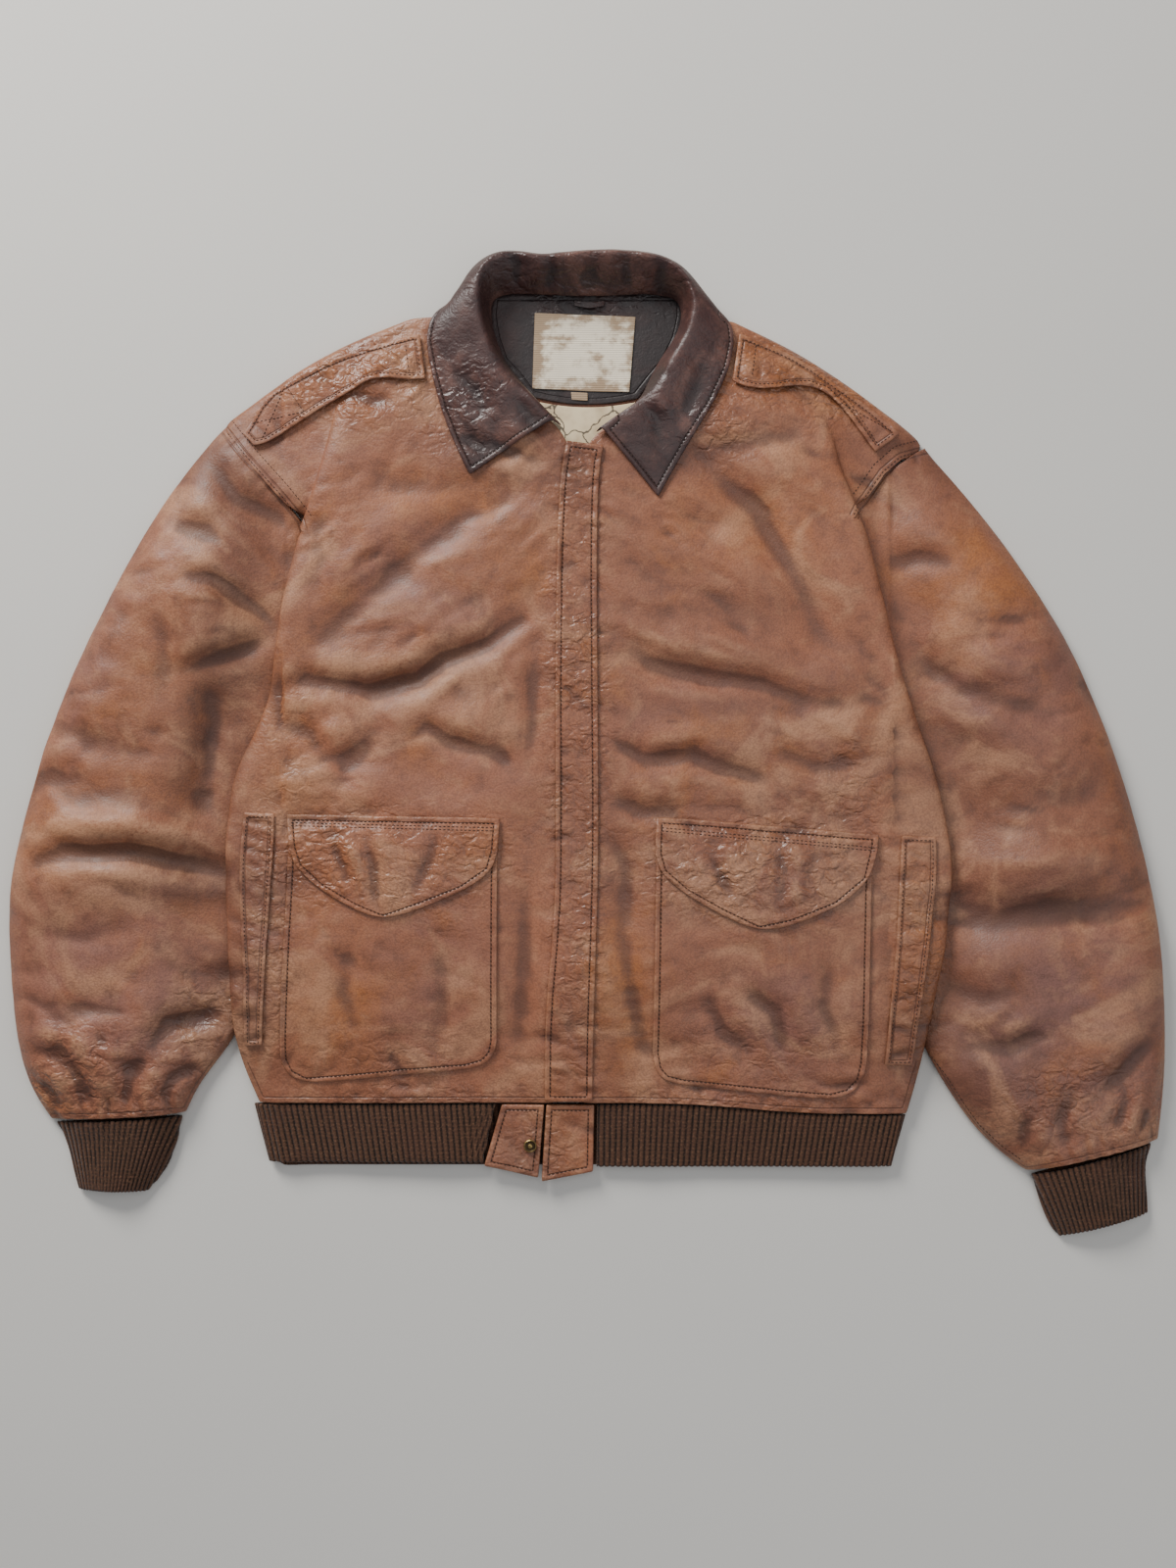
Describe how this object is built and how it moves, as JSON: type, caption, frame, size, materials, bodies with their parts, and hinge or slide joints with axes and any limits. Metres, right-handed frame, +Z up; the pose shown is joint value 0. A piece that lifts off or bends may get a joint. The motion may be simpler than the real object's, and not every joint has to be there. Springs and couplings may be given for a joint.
{
  "type": "worn leather flight jacket laid flat",
  "caption": "Worn brown leather flight jacket lying on its back, zipped under a wind flap, with turned-down collar, shoulder straps, flapped patch pockets and knit cuffs and hem.",
  "frame": {"origin": "middle of the jacket's box, on the surface it lies on", "axes": "+X to the wearer's left, +Y from the hem to the collar, +Z up from the surface"},
  "size_m": [0.9418, 0.8, 0.036],
  "materials": {
    "leather": "worn, semi-gloss",
    "collar_leather": "worn, semi-gloss",
    "facing_leather": "satin",
    "knit": "matte rib knit",
    "lining_cloth": "printed cloth",
    "label_cloth": "woven",
    "snap_brass": "oxidised"
  },
  "bodies": {
    "root": {"back_panel": "leather", "front_right": "leather", "front_left": "leather", "sleeve_right": "leather", "sleeve_left": "leather", "pocket_right": "leather", "pocket_left": "leather", "pocket_flap_right": "leather", "pocket_flap_left": "leather", "welt_right": "leather", "welt_left": "leather", "wind_flap": "leather", "shoulder_strap_right": "leather", "shoulder_strap_left": "leather", "hem_tab_right": "leather", "hem_tab_left": "leather", "collar": "collar_leather", "neck_facing": "facing_leather", "hanger_loop": "facing_leather", "cuff_right": "knit", "cuff_left": "knit", "hem_rib": "knit", "neck_lining": "lining_cloth", "label": "label_cloth", "size_tag": "label_cloth", "hem_snap": "snap_brass"}
  },
  "joints": []
}
